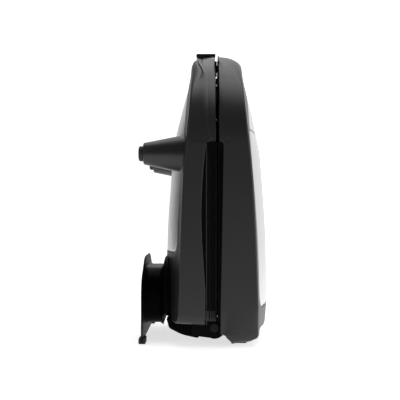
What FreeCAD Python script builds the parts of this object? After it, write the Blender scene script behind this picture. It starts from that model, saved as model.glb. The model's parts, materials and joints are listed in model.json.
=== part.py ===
import FreeCAD, Part
import math
import os

from FreeCAD import Vector

# An upright-stored clamshell sandwich toaster, in millimetres. It stands on its hinge end: +Z is up, the
# base half with its feet is towards -X, the lid half towards +X, and the hinge axis runs along Y.
# The origin is the centre of the bounding box's bottom face. u is a depth outwards from the seam plane.

# Overall sizes, from which most others follow
HALF_WIDTH = 113.0        # half of the width across the side walls
TOP = 279.4               # height of the lid's handle end
FOOT_REACH = 72.8         # from the seam to the foot tips
LID_BULGE = 50.0          # from the seam to the crest of either half
SEAM_X = (FOOT_REACH - LID_BULGE) / 2

# The two shells
WALL = 2.5
SEAM_GAP = 2.8            # between the two handle ends
RIM_U = SEAM_GAP / 2
RAIL_DEPTH = 0.696 * LID_BULGE             # depth of a side wall at the hinge end
RAIL_FALL = 0.437 * LID_BULGE / TOP ** 2   # how fast that depth falls with the square of the height
BASE_TOP = TOP - 3.0
BASE_BOTTOM = 19.0
LID_BOTTOM = 2.0
OUTLINE_CORNER = 18.0
RIM_ROUND = 8.0
SHOULDER_DROP = 59.0      # from the handle end down to where the shoulders start
SHOULDER_ROUND = 75.0
BROW_HALF = 0.4 * HALF_WIDTH
HEEL_ROUND = 27.0
HEEL_DEPTH = LID_BULGE - 8.0
CREST = [                 # shares of TOP, and of LID_BULGE
    (-0.04, 0.92), (0.107, 0.992), (0.233, 1.0), (0.376, 0.978), (0.537, 0.918), (0.68, 0.842),
    (0.805, 0.672), (0.895, 0.54), (1.038, 0.46),
]

# Limits that reach past every piece, for cutting tools
WIDE = HALF_WIDTH + 40
FAR = LID_BULGE + 40
HIGH = TOP + 40
BELOW = -10.0

# The silver covers
COVER = 0.9
COVER_SIDE_INSET = 16.0
COVER_TOP = TOP - 29.4
LID_COVER_BOTTOM = 34.0
BASE_COVER_BOTTOM = 84.0
COVER_ROUND = 30.0
COVER_SHOULDER_Z = TOP - 82.4
COVER_SHOULDER_ROUND = 61.0
COVER_BROW_HALF = 0.407 * HALF_WIDTH
CROSS_SEAM_Z = TOP - 82.4
CROSS_SEAM = 0.8

# The inner frames and the cut-back that shows them
RECESS_TOP = TOP - 94.4
LID_CUT_BACK = (2.4, 5.4)        # at the bottom and at the top of the recess
BASE_CUT_BACK = (11.0, 8.5)
FRAME_GAP = 0.8
FRAME_FIT = 0.2
FRAME_WALL = 2.5
FRAME_DEPTH = 15.0
LINER = 3.0

# The cooking plates
PLATE_HALF_WIDTH = HALF_WIDTH - 9.2
PLATE_LOW = 36.0
PLATE_HIGH = TOP - 101.4
PLATE_U = FRAME_GAP / 2 + 0.2
PLATE_SKIN = 3.0
PLATE_CORNER = 3.0
PLATE_FIT = 0.2
POCKET_DEPTH = 9.0
POCKET_MARGIN = 6.0
POCKET_RIDGE = 5.0
POCKET_ROUND = 9.0
POCKET_DRAFT = 3.5

# Screws through the frames into the shells, as (y, z)
POSTS = [
    (-HALF_WIDTH + 29, TOP - 73.4), (HALF_WIDTH - 29, TOP - 73.4),
    (-HALF_WIDTH + 43, 29.0), (HALF_WIDTH - 43, 29.0),
]
POST_R = 4.0
SHANK_R = 1.2
HEAD_R = 2.9
HEAD_THICKNESS = 2.0

# Heaters and what sits behind the plates
HEATER_R = 3.25
HEATER_U = PLATE_U + POCKET_DEPTH + PLATE_SKIN + HEATER_R
HEATER_BEND = 14.0
HEATER_END_Y = 16.0
HEATER_END_Z = 46.0
HEATER_LOW = 72.0
HEATER_HIGH = TOP - 129.4
HEATER_HALF = HALF_WIDTH - 41
TRAY_SKIN = 0.8
TRAY_DEPTH = 6.0
TRAY_BACK = HEATER_U + HEATER_R + 1.5
TRAY_HALF = HALF_WIDTH - 23
TRAY_LOW = 56.0
TRAY_HIGH = TOP - 113.4
TRAY_CORNER = 12.0
TRAY_NOTCH = 5.0
THERMOSTAT_Z = 108.0
THERMOSTAT_R = 9.0
THERMOSTAT_HEIGHT = 8.0
TAB_Y = 5.0
TAB_HALF = 2.5
FUSE_Z = 76.0
FUSE_R = 2.5
FUSE_HALF = 9.0
LEAD_R = 0.8
LEAD_HALF = 16.0
TERMINAL_LOW = 28.0
TERMINAL_HIGH = 42.0
TERMINAL_HALF = 20.0
TERMINAL_STEP = 12.0
WIRE_R = 1.4
WIRE_BEND = 8.0

# The hinge
HINGE_U = -2.7            # from the seam, towards the base
HINGE_Z = 15.9
EAR_R = 10.0
ARM_R = 9.0
PIN_R = 2.5
PIN_HEAD_R = 4.0
PIN_HEAD = 1.6
PIN_CLEARANCE = 0.05
EAR_INNER_Y = HALF_WIDTH - 21
EAR_THICKNESS = 6.0
EAR_OUTER_Y = EAR_INNER_Y + EAR_THICKNESS
ARM_THICKNESS = 6.8
SIDE_CLEARANCE = 0.5
HEAD_ROOM = 3.5           # outside an ear, for the pin's head

# The rear cover and the cord's inlet
REAR_LOW = 3.7
REAR_FRONT_U = 16.8
REAR_HALF = EAR_INNER_Y - ARM_THICKNESS - 5
REAR_BACK_U = LID_BULGE - 4
REAR_HIGH = 26.0
GLAND_Y = 40.0
GLAND_Z = 17.0
GLAND_R = 4.2
GLAND_BORE_R = 3.0

# The feet
FOOT_Y = HALF_WIDTH - 25
FOOT_Z = TOP - 103.6
FOOT_ROOT_U = 24.0
FOOT_ROOT_R = 18.5
FOOT_SPLAY = 6.0
FOOT_TIP_R = 10.0
FOOT_TIP_U = FOOT_REACH - 4.5
PAD_R = 7.2
PAD_SOCKET = 3.0
PAD_ROUND = 1.5

# The cord spool and the stand plate
SPOOL_FACE_U = LID_BULGE + 2.0
STAND_FACE_U = FOOT_REACH - 5.6
STAND_THICKNESS = 3.3
STAND_HALF_WIDTH = HALF_WIDTH - 18
STAND_TOP = 79.3
STAND_BOTTOM = 1.0
STAND_SHOULDER_Z = 58.0
STAND_BROW_HALF = HALF_WIDTH - 71
STAND_BROW_ROUND = 60.0
BARREL_HALF_WIDTH = HALF_WIDTH - 53
BARREL_LOW = 16.0
BARREL_HIGH = 68.0
BARREL_ROUND = 25.5
FLANGE_HALF_WIDTH = HALF_WIDTH - 33
FLANGE_LOW = 26.0
SHOE_INNER_Y = STAND_HALF_WIDTH - 21
SHOE_OUTER_Y = STAND_HALF_WIDTH - 4
SHOE_HEIGHT = 6.0
STAND_SCREWS = [(-34.0, 42.0), (34.0, 42.0)]
STAND_SHANK_R = 1.9
STAND_HEAD_R = 3.9
STAND_HEAD = 1.4
STAND_SINK = 1.6

# The lid's heels
HEEL_U = (13.0, 27.0)
HEEL_Y = (HALF_WIDTH - 57, HALF_WIDTH - 29)
HEEL_SEAT = 1.0
RELIEF_U = 11.5
RELIEF_Z = 14.5

# The lamps in the lid's front cover, as (y, z)
LAMPS = [(-9.0, TOP - 65.4), (9.0, TOP - 65.4)]
LENS_R = 4.0
LENS_FIT = 0.1
LENS_PROUD = 0.8
LENS_BACK_U = 0.52 * LID_BULGE

# The latch: the slide carries a finger across the seam side of the keeper's head
CARRIAGE_Z = BASE_TOP - 6.2
CARRIAGE = 1.2
CARRIAGE_Y = (8.6, 24.3)
CARRIAGE_U = (4.8, 14.0)
STEM_U = (10.2, 13.3)
SLOT_FIT = 0.4
LATCH_TRAVEL = 11.0
LATCH_TOP = TOP + 1.6
CAP = 1.8
CAP_U = (0.8, 19.8)
CAP_Y = (-12.0, 23.0)
GRIP_R = 2.0
FINGER_U = 7.6
FINGER_Y = (17.5, 23.5)
KEEPER_FIT = 0.1
KEEPER_HIGH = CARRIAGE_Z - 0.2
KEEPER_LOW = KEEPER_HIGH - 5.8
KEEPER_NECK_HALF = 5.9
KEEPER_HEAD_HALF = 11.5
KEEPER_HEAD_U = (8.0, 12.0)
KEEPER_ROOT_U = 9.0
KEEPER_ROOT_HALF = 12.0
GUIDE_U = 14.4
GUIDE = 2.0
GUIDE_Y = (-20.0, 26.0)


def at(side, u, y, z):
    """A point u outwards from the seam: side is 1 on the lid and -1 on the base."""
    return Vector(SEAM_X + side * u, y, z)


def rounded_edges(corners, place, closed=True):
    """Straight runs joined by tangent arcs; each corner is (a, b, radius)."""
    count = len(corners)
    flat = [Vector(a, b, 0) for a, b, r in corners]
    cuts = []
    for i, (a, b, radius) in enumerate(corners):
        here = flat[i]
        if radius == 0:
            cuts.append((here, here, here))
            continue
        back = (flat[i - 1] - here).normalize()
        ahead = (flat[(i + 1) % count] - here).normalize()
        half = back.getAngle(ahead) / 2
        middle = (back + ahead).normalize()
        start = here + back * (radius / math.tan(half))
        end = here + ahead * (radius / math.tan(half))
        crest = here + middle * (radius / math.sin(half) - radius)
        cuts.append((start, crest, end))
    edges = []
    for i, (start, crest, end) in enumerate(cuts):
        if start.distanceToPoint(end) > 1e-6:
            edges.append(Part.Arc(place(start), place(crest), place(end)).toShape())
        if closed or i < count - 1:
            following = cuts[(i + 1) % count][0]
            if end.distanceToPoint(following) > 1e-6:
                edges.append(Part.LineSegment(place(end), place(following)).toShape())
    return edges


def shrunk(corners, inset):
    """A convex outline with every run moved inwards by inset, and its radii to match."""
    count = len(corners)
    flat = [Vector(a, b, 0) for a, b, r in corners]
    area = sum(flat[i].cross(flat[(i + 1) % count]).z for i in range(count))
    turn = 1 if area > 0 else -1
    moved = []
    for i, (a, b, radius) in enumerate(corners):
        into = (flat[i] - flat[i - 1]).normalize()
        out = (flat[(i + 1) % count] - flat[i]).normalize()
        first = Vector(-into.y, into.x, 0) * turn
        second = Vector(-out.y, out.x, 0) * turn
        here = flat[i] + (first + second) * (inset / (1 + first.dot(second)))
        moved.append((here.x, here.y, max(radius - inset, 0.5) if radius else 0))
    return moved


def x_prism(side, u0, u1, corners):
    """A solid between two depths, whose outline is given as (y, z, radius) corners."""
    edges = rounded_edges(corners, lambda p: at(side, u0, p.x, p.y))
    return Part.Face(Part.Wire(edges)).extrude(Vector(side * (u1 - u0), 0, 0))


def y_prism(side, y0, y1, corners):
    """A solid between two side planes, whose outline is given as (u, z, radius) corners."""
    edges = rounded_edges(corners, lambda p: at(side, p.x, y0, p.y))
    return Part.Face(Part.Wire(edges)).extrude(Vector(0, y1 - y0, 0))


def block(side, u0, u1, y0, y1, z0, z1):
    corners = [(y0, z0, 0), (y1, z0, 0), (y1, z1, 0), (y0, z1, 0)]
    return x_prism(side, u0, u1, corners)


def x_rod(side, u0, u1, y, z, radius):
    return Part.makeCylinder(radius, u1 - u0, at(side, u0, y, z), Vector(side, 0, 0))


def y_rod(side, u, z, y0, y1, radius):
    return Part.makeCylinder(radius, y1 - y0, at(side, u, y0, z), Vector(0, 1, 0))


def fused(shapes):
    whole = shapes[0]
    for shape in shapes[1:]:
        whole = whole.fuse(shape)
    return whole.removeSplitter()


def both_sides(shape):
    """A piece and its mirror image across the middle plane."""
    return [shape, shape.mirror(Vector(0, 0, 0), Vector(0, 1, 0))]


def brow_round(half, wide, rise, share):
    """The radius of a brow corner whose arc takes up this share of the half-flat beside it."""
    turn = math.atan2(rise, wide - half)
    return share * half / math.tan(turn / 2)


def shell_outline(inset, bottom, top):
    """The outline seen from the front: straight sides, round shoulders and a bowed handle end."""
    shoulder = top - SHOULDER_DROP
    brow = brow_round(BROW_HALF, HALF_WIDTH, SHOULDER_DROP, 0.96)
    corners = [
        (-HALF_WIDTH, bottom, OUTLINE_CORNER),
        (HALF_WIDTH, bottom, OUTLINE_CORNER),
        (HALF_WIDTH, shoulder, SHOULDER_ROUND),
        (BROW_HALF, top, brow),
        (-BROW_HALF, top, brow),
        (-HALF_WIDTH, shoulder, SHOULDER_ROUND),
    ]
    return shrunk(corners, inset)


def rail_depth(z):
    return RAIL_DEPTH - RAIL_FALL * z * z


def crest_line():
    """Heights and depths of the crest along the middle plane, bottom to top."""
    return [(height * TOP, depth * LID_BULGE) for height, depth in CREST]


def crowned_block(side, inset):
    """The space inside the crowned outer face, from the seam plane outwards."""
    sections = []
    spill = 8.0
    for z, crest in crest_line():
        wide = HALF_WIDTH + spill
        rail = rail_depth(z)
        edge = crest - (crest - rail) * (wide / HALF_WIDTH) ** 2
        outer = Part.Arc(
            at(side, edge - inset, -wide, z), at(side, crest - inset, 0, z), at(side, edge - inset, wide, z)
        ).toShape()
        seam = Part.LineSegment(at(side, 0, wide, z), at(side, 0, -wide, z)).toShape()
        right = Part.LineSegment(at(side, edge - inset, wide, z), at(side, 0, wide, z)).toShape()
        left = Part.LineSegment(at(side, 0, -wide, z), at(side, edge - inset, -wide, z)).toShape()
        sections.append(Part.Wire([outer, right, seam, left]))
    return Part.makeLoft(sections, True, False)


def heel_round(inset):
    """A block whose lower outer edge is rounded, as seen from the side, for the lid's hinge end."""
    low = LID_BOTTOM + inset
    corners = [
        (BELOW, low, 0),
        (HEEL_DEPTH - inset, low, HEEL_ROUND - inset),
        (LID_BULGE + 6 - inset, 60, 0),
        (LID_BULGE + 20, HIGH, 0),
        (BELOW, HIGH, 0),
    ]
    return y_prism(1, -WIDE, WIDE, corners)


def half_body(side, inset, depth_inset):
    """One closed half: crowned outside with a rounded rim, flat at the seam, shrunk all round by inset."""
    bottom = LID_BOTTOM if side > 0 else BASE_BOTTOM
    top = TOP if side > 0 else BASE_TOP
    outline = x_prism(side, 0, FAR, shell_outline(inset, bottom, top))
    body = crowned_block(side, depth_inset).common(outline)
    if side > 0:
        body = body.common(heel_round(inset))
    large = [face for face in body.Faces if face.Area > HALF_WIDTH * TOP / 2]
    crown = max(large, key=lambda face: abs(face.CenterOfMass.x - SEAM_X))
    return body.makeFillet(RIM_ROUND - inset, crown.Edges)


def cover_window(side, inset=0.0):
    """The opening in a shell's outer face that a silver cover fills."""
    low = LID_COVER_BOTTOM if side > 0 else BASE_COVER_BOTTOM
    wide = HALF_WIDTH - COVER_SIDE_INSET
    brow = brow_round(COVER_BROW_HALF, wide, COVER_TOP - COVER_SHOULDER_Z, 0.81)
    corners = [
        (-wide, low, COVER_ROUND),
        (wide, low, COVER_ROUND),
        (wide, COVER_SHOULDER_Z, COVER_SHOULDER_ROUND),
        (COVER_BROW_HALF, COVER_TOP, brow),
        (-COVER_BROW_HALF, COVER_TOP, brow),
        (-wide, COVER_SHOULDER_Z, COVER_SHOULDER_ROUND),
    ]
    return x_prism(side, LINER + RIM_U, FAR, shrunk(corners, inset))


def recess(side):
    """The wedge cut from a shell's rim, which shows the inner frame."""
    lower, upper = LID_CUT_BACK if side > 0 else BASE_CUT_BACK
    corners = [(BELOW, BELOW, 0), (lower, BELOW, 0), (upper, RECESS_TOP, 0), (BELOW, RECESS_TOP, 0)]
    return y_prism(side, -WIDE, WIDE, corners)


def hinge_u(side):
    return HINGE_U * side


def hinge_pocket(side, inner_y, outer_y, radius):
    """The round room that a knuckle turns in, on both sides."""
    rod = y_rod(side, hinge_u(side), HINGE_Z, inner_y, outer_y, radius)
    return fused(both_sides(rod))


def knuckle_rooms(side):
    """All the room that the hinge needs out of one half."""
    ear_outer = EAR_OUTER_Y + HEAD_ROOM
    arm_inner = EAR_INNER_Y - ARM_THICKNESS - 2 * SIDE_CLEARANCE
    return hinge_pocket(side, arm_inner, ear_outer, EAR_R + SIDE_CLEARANCE)


def shell(side):
    body = half_body(side, 0, 0)
    body = body.cut(half_body(side, WALL, WALL))
    body = body.cut(block(side, -1, RIM_U, -WIDE, WIDE, BELOW, HIGH))
    body = body.cut(cover_window(side))
    body = body.cut(recess(side))
    body = body.cut(knuckle_rooms(side))
    for post in shell_posts(side):
        body = body.fuse(post)
    return body.removeSplitter()


def shell_posts(side):
    """Screw posts that stand inside a shell, from the frame to the outer wall."""
    room = half_body(side, WALL / 2, WALL / 2)
    posts = []
    for y, z in POSTS:
        post = x_rod(side, FRAME_DEPTH + 0.3, FAR, y, z, POST_R)
        post = post.cut(x_rod(side, 0, FRAME_DEPTH + 10, y, z, SHANK_R))
        posts.append(post.common(room))
    return posts


def cover(side, low, high):
    skin = half_body(side, 0, 0).cut(half_body(side, 0, COVER))
    return skin.common(cover_window(side)).common(block(side, RIM_U, FAR, -WIDE, WIDE, low, high))


def frame(side):
    """The black inner frame: a plate seat with a skirt, and the liner of the handle end."""
    top = TOP if side > 0 else BASE_TOP
    inset = WALL + FRAME_FIT
    near = FRAME_GAP / 2
    lower = block(side, 0, FAR, -WIDE, WIDE, BELOW, RECESS_TOP)
    skirt = x_prism(side, near, FRAME_DEPTH, shell_outline(inset, BASE_BOTTOM, top))
    inside = shell_outline(inset + FRAME_WALL, BASE_BOTTOM, top)
    skirt = skirt.cut(x_prism(side, near + LINER, FRAME_DEPTH, inside))
    skirt = skirt.common(lower)
    liner = x_prism(side, RIM_U, RIM_U + LINER, shell_outline(inset, BASE_BOTTOM, top))
    body = skirt.fuse(liner).removeSplitter()
    seat_y = PLATE_HALF_WIDTH + PLATE_FIT
    seat_low = PLATE_LOW - PLATE_FIT
    seat_high = PLATE_HIGH + PLATE_FIT
    body = body.cut(block(side, -1, RIM_U + 2 * LINER, -seat_y, seat_y, seat_low, seat_high))
    body = body.cut(keeper_window(side))
    body = body.cut(knuckle_rooms(side))
    for y, z in POSTS:
        if z > RECESS_TOP:
            body = body.fuse(x_rod(side, RIM_U, FRAME_DEPTH, y, z, POST_R))
        body = body.cut(x_rod(side, 0, FRAME_DEPTH + 5, y, z, SHANK_R + 0.5))
        body = body.cut(x_rod(side, 0, RIM_U + HEAD_THICKNESS, y, z, HEAD_R + 0.3))
    return body.removeSplitter()


def pocket_corners(flip, upper, inset):
    """One of the four right triangles of a plate's pockets, shrunk by inset."""
    inner = POCKET_RIDGE / 2
    outer = PLATE_HALF_WIDTH - POCKET_MARGIN
    low = PLATE_LOW + POCKET_MARGIN
    high = PLATE_HIGH - POCKET_MARGIN
    run = outer - inner
    rise = high - low
    slant = math.hypot(run, rise)
    ridge_y = POCKET_RIDGE / 2 * slant / rise
    ridge_z = POCKET_RIDGE / 2 * slant / run
    if upper:
        triangle = [(inner, high), (outer - ridge_y, high), (inner, low + ridge_z)]
    else:
        triangle = [(outer, low), (inner + ridge_y, low), (outer, high - ridge_z)]
    return shrunk([(flip * y, z, POCKET_ROUND) for y, z in triangle], inset)


def pocket(side, flip, upper, u0, u1, inset, draft):
    """A tapered triangular block: wide at u0, narrower at u1."""
    wires = []
    for u, extra in ((u0, 0), (u1, draft)):
        corners = pocket_corners(flip, upper, inset + extra)
        wires.append(Part.Wire(rounded_edges(corners, lambda p: at(side, u, p.x, p.y))))
    return Part.makeLoft(wires, True, True)


def pockets(side, u0, u1, inset, draft):
    return [
        pocket(side, flip, upper, u0, u1, inset, draft)
        for flip in (1, -1)
        for upper in (False, True)
    ]


def cooking_plate(side):
    sheet = x_prism(side, PLATE_U, PLATE_U + PLATE_SKIN, [
        (-PLATE_HALF_WIDTH, PLATE_LOW, PLATE_CORNER), (PLATE_HALF_WIDTH, PLATE_LOW, PLATE_CORNER),
        (PLATE_HALF_WIDTH, PLATE_HIGH, PLATE_CORNER), (-PLATE_HALF_WIDTH, PLATE_HIGH, PLATE_CORNER),
    ])
    floor = PLATE_U + POCKET_DEPTH
    for cup in pockets(side, PLATE_U + 0.5, floor + PLATE_SKIN, -PLATE_SKIN / 2, POCKET_DRAFT):
        sheet = sheet.fuse(cup)
    for hollow in pockets(side, PLATE_U - 0.01, floor, 0, POCKET_DRAFT):
        sheet = sheet.cut(hollow)
    return sheet.removeSplitter()


def heater(side):
    """A U-bent tubular element whose two cold ends point at the hinge end."""
    half = [
        (HEATER_END_Y, HEATER_END_Z, 0), (HEATER_END_Y, HEATER_LOW, HEATER_BEND),
        (HEATER_HALF, HEATER_LOW, HEATER_BEND), (HEATER_HALF, HEATER_HIGH, HEATER_BEND),
    ]
    route = [(-y, z, r) for y, z, r in half] + half[::-1]
    return wire_run(side, HEATER_U, route, HEATER_R)


def reflector(side):
    """A shallow pressed tray behind the element, with two notches for its cold ends."""
    front = TRAY_BACK - TRAY_DEPTH
    floor = TRAY_BACK - TRAY_SKIN
    outline = [
        (-TRAY_HALF, TRAY_LOW, TRAY_CORNER), (TRAY_HALF, TRAY_LOW, TRAY_CORNER),
        (TRAY_HALF, TRAY_HIGH, TRAY_CORNER), (-TRAY_HALF, TRAY_HIGH, TRAY_CORNER),
    ]
    tray = x_prism(side, front, TRAY_BACK, outline)
    tray = tray.cut(x_prism(side, front, floor, shrunk(outline, TRAY_SKIN)))
    for y in (-HEATER_END_Y, HEATER_END_Y):
        notch = block(side, front, floor, y - TRAY_NOTCH, y + TRAY_NOTCH, TRAY_LOW - 6, TRAY_LOW + 8)
        tray = tray.cut(notch)
    return tray


def thermostat():
    u = TRAY_BACK
    can = x_rod(-1, u, u + THERMOSTAT_HEIGHT, 0, THERMOSTAT_Z, THERMOSTAT_R)
    flange = x_rod(-1, u, u + 1.2, 0, THERMOSTAT_Z, THERMOSTAT_R + 3)
    low = u + THERMOSTAT_HEIGHT
    tabs = [
        block(-1, low, low + 3, y - TAB_HALF, y + TAB_HALF, THERMOSTAT_Z - 0.5, THERMOSTAT_Z + 0.5)
        for y in (-TAB_Y, TAB_Y)
    ]
    return fused([can, flange] + tabs)


def thermal_fuse():
    u = TRAY_BACK + FUSE_R + 0.1
    body = y_rod(-1, u, FUSE_Z, -FUSE_HALF, FUSE_HALF, FUSE_R)
    leads = y_rod(-1, u, FUSE_Z, -LEAD_HALF, LEAD_HALF, LEAD_R)
    return body.fuse(leads).removeSplitter()


def terminal_block():
    front = TRAY_BACK - 4
    back = TRAY_BACK + 10
    body = block(-1, front, back, -TERMINAL_HALF, TERMINAL_HALF, TERMINAL_LOW, TERMINAL_HIGH)
    for y in (-TERMINAL_STEP, 0, TERMINAL_STEP):
        body = body.cut(x_rod(-1, back - 6, back, y, (TERMINAL_LOW + TERMINAL_HIGH) / 2, 3.2))
    return body.removeSplitter()


def wire_run(side, u, route, radius):
    """A round wire or tube along straight runs joined by tangent arcs, in one plane at depth u."""
    path = Part.Wire(rounded_edges(route, lambda p: at(side, u, p.x, p.y), closed=False))
    y, z, r = route[0]
    heading = Vector(0, route[1][0] - y, route[1][1] - z)
    ring = Part.Wire(Part.makeCircle(radius, at(side, u, y, z), heading))
    return path.makePipeShell([ring], True, False)


def wire_pair(side, u, route):
    other = [(-y, z, r) for y, z, r in route]
    return Part.makeCompound([wire_run(side, u, route, WIRE_R), wire_run(side, u, other, WIRE_R)])


def base_wires():
    """From the outer terminals, round the thermal fuse, to just short of the thermostat."""
    start = TERMINAL_HIGH + 0.2
    wide = THERMOSTAT_R + 17
    return wire_pair(-1, TRAY_BACK + 7, [
        (TERMINAL_STEP, start, 0), (TERMINAL_STEP, FUSE_Z - 16, WIRE_BEND), (wide, FUSE_Z, WIRE_BEND),
        (wide, THERMOSTAT_Z - 4, WIRE_BEND), (THERMOSTAT_R + 5, THERMOSTAT_Z + 8, 0),
    ])


def lid_wires():
    """From the hinge end up to the lamps."""
    return wire_pair(1, TRAY_BACK + 4, [
        (6, HEATER_END_Z, 0), (6, TOP - 159.4, 20), (22, TOP - 119.4, 20), (22, LAMPS[0][1] - 8, 0),
    ])


def frame_screws(side):
    """Four pan-head screws through the frame into the shell's posts."""
    screws = []
    for y, z in POSTS:
        head = x_rod(side, RIM_U - 0.1, RIM_U + HEAD_THICKNESS, y, z, HEAD_R)
        shank = x_rod(side, RIM_U + HEAD_THICKNESS - 0.1, FRAME_DEPTH + 8, y, z, SHANK_R)
        screws.append(head.fuse(shank).removeSplitter())
    return Part.makeCompound(screws)


def hinge_ears():
    """The base's knuckles: discs round the pins, with webs screwed up under the base shell."""
    u = hinge_u(-1)
    under = BASE_BOTTOM - FRAME_FIT
    disc = y_rod(-1, u, HINGE_Z, EAR_INNER_Y, EAR_OUTER_Y, EAR_R)
    profile = [(u, HINGE_Z - 9.7, 0), (24, 9, 2), (24, under, 0), (u, under, 0)]
    web = y_prism(-1, EAR_INNER_Y, EAR_OUTER_Y, profile)
    ear = disc.fuse(web).cut(y_rod(-1, u, HINGE_Z, EAR_INNER_Y - 1, EAR_OUTER_Y + 1, PIN_R))
    return Part.makeCompound(both_sides(ear))


def hinge_arms():
    """The lid's knuckles, inboard of the base's, with a web into the lid's frame."""
    y1 = EAR_INNER_Y - SIDE_CLEARANCE
    y0 = y1 - ARM_THICKNESS
    u = hinge_u(1)
    web_u = ARM_R
    web_top = BASE_BOTTOM + WALL + FRAME_FIT
    disc = y_rod(1, u, HINGE_Z, y0, y1, ARM_R)
    web = y_prism(1, y0, y1, [(u, 10, 0), (web_u, 12, 0), (web_u, web_top, 0), (u, 22, 0)])
    arm = fused([disc, web])
    arm = arm.cut(y_rod(1, u, HINGE_Z, y0 - 1, y1 + 1, PIN_R + PIN_CLEARANCE))
    arm = arm.cut(frame(1)).cut(cooking_plate(1)).cut(shell(1))
    return Part.makeCompound(both_sides(largest(arm)))


def largest(shape):
    return max(shape.Solids, key=lambda solid: solid.Volume)


def hinge_pins():
    inner = EAR_INNER_Y - SIDE_CLEARANCE - ARM_THICKNESS - 0.4
    u = hinge_u(-1)
    shank = y_rod(-1, u, HINGE_Z, inner, EAR_OUTER_Y, PIN_R)
    head = y_rod(-1, u, HINGE_Z, EAR_OUTER_Y, EAR_OUTER_Y + PIN_HEAD, PIN_HEAD_R)
    return Part.makeCompound(both_sides(shank.fuse(head).removeSplitter()))


def rear_profile(inset):
    """The rear cover's section: a shallow belly that steepens towards the spool."""
    return [
        (REAR_FRONT_U + inset, REAR_LOW + 1.15 * inset, 1.5 if inset == 0 else 0),
        (REAR_BACK_U - 13, REAR_LOW + 3.5 + inset, 30 - inset),
        (REAR_BACK_U - 1 - inset, REAR_LOW + 9.7 + 0.6 * inset, 4 - inset / 2),
        (REAR_BACK_U - 1.2 * inset, REAR_HIGH, 0),
        (REAR_FRONT_U + inset, REAR_HIGH, 0),
    ]


def rear_cover():
    """The black housing under the base's hinge end, which closes the terminal space."""
    body = y_prism(-1, -REAR_HALF, REAR_HALF, rear_profile(0))
    body = body.cut(y_prism(-1, -REAR_HALF + WALL, REAR_HALF - WALL, rear_profile(WALL)))
    body = body.cut(half_body(-1, 0, 0))
    body = body.cut(x_rod(-1, REAR_BACK_U - 10, FAR, GLAND_Y, GLAND_Z, GLAND_R))
    return largest(body)


def cord_gland():
    """The bush of the cord's inlet, in the rear cover's outer wall."""
    collar = x_rod(-1, REAR_BACK_U - 8, REAR_BACK_U + 1.5, GLAND_Y, GLAND_Z, GLAND_R)
    lip = x_rod(-1, REAR_BACK_U, REAR_BACK_U + 2.4, GLAND_Y, GLAND_Z, GLAND_R - 0.3)
    bush = collar.fuse(lip).cut(x_rod(-1, 0, FAR, GLAND_Y, GLAND_Z, GLAND_BORE_R))
    return bush.cut(half_body(-1, 0, 0)).removeSplitter()


def foot(side_index):
    """A tapered front foot whose root follows the base's crowned face."""
    along = Vector(1, 0, 0)
    root = Part.Wire(Part.makeCircle(FOOT_ROOT_R, at(-1, FOOT_ROOT_U, FOOT_Y - FOOT_SPLAY, FOOT_Z), along))
    tip = Part.Wire(Part.makeCircle(FOOT_TIP_R, at(-1, FOOT_TIP_U, FOOT_Y, FOOT_Z), along))
    cone = Part.makeLoft([root, tip], True, True)
    cone = cone.cut(x_rod(-1, FOOT_TIP_U - PAD_SOCKET, FOOT_REACH, FOOT_Y, FOOT_Z, PAD_R))
    cone = cone.cut(half_body(-1, 0, 0))
    return both_sides(largest(cone))[side_index]


def foot_pad(side_index):
    plug = x_rod(-1, FOOT_TIP_U - PAD_SOCKET, FOOT_REACH, FOOT_Y, FOOT_Z, PAD_R)
    edges = [edge for edge in plug.Edges if abs(edge.CenterOfMass.x - (SEAM_X - FOOT_REACH)) < 0.01]
    return both_sides(plug.makeFillet(PAD_ROUND, edges))[side_index]


def flange_outline(half, low, high, round_high, round_low):
    lower = [(-half, low, round_low), (half, low, round_low)]
    return lower + [(half, high, round_high), (-half, high, round_high)]


def cord_spool():
    """The barrel that the cord is wound round, with the inner flange that seats on the base."""
    inner_half = BARREL_HALF_WIDTH - WALL
    flange = x_prism(-1, 30, SPOOL_FACE_U, flange_outline(FLANGE_HALF_WIDTH, FLANGE_LOW, STAND_TOP, 40, 10))
    opening = flange_outline(inner_half, FLANGE_LOW + WALL + 4, BARREL_HIGH - WALL, 17, 10)
    flange = flange.cut(x_prism(-1, 30, SPOOL_FACE_U - WALL, opening))
    outside = flange_outline(BARREL_HALF_WIDTH, BARREL_LOW, BARREL_HIGH, BARREL_ROUND, BARREL_ROUND)
    barrel = x_prism(-1, SPOOL_FACE_U - 6, STAND_FACE_U, outside)
    bore = x_prism(-1, SPOOL_FACE_U - 12, STAND_FACE_U - WALL, shrunk(outside, WALL))
    body = flange.fuse(barrel).cut(bore)
    body = body.cut(half_body(-1, 0, 0)).cut(rear_cover()).cut(cord_gland())
    return largest(body.removeSplitter())


def stand_plate():
    """The outer flange: it holds the cord on, and it is the rear foot and the upright stand."""
    outline = [
        (-STAND_HALF_WIDTH, STAND_BOTTOM, 4), (STAND_HALF_WIDTH, STAND_BOTTOM, 4),
        (STAND_HALF_WIDTH, STAND_SHOULDER_Z, 22), (STAND_BROW_HALF, STAND_TOP, STAND_BROW_ROUND),
        (-STAND_BROW_HALF, STAND_TOP, STAND_BROW_ROUND), (-STAND_HALF_WIDTH, STAND_SHOULDER_Z, 22),
    ]
    outer = STAND_FACE_U + STAND_THICKNESS
    plate = x_prism(-1, STAND_FACE_U, outer, outline)
    for y, z in STAND_SCREWS:
        plate = plate.cut(x_rod(-1, STAND_FACE_U, outer, y, z, STAND_SHANK_R + 0.3))
        plate = plate.cut(x_rod(-1, STAND_FACE_U + STAND_SINK, outer, y, z, STAND_HEAD_R + 0.3))
    for shoe in stand_shoe_solids():
        plate = plate.cut(shoe)
    return plate


def stand_shoe_solids():
    return both_sides(block(-1, STAND_FACE_U - 1, FOOT_REACH, SHOE_INNER_Y, SHOE_OUTER_Y, 0, SHOE_HEIGHT))


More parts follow.
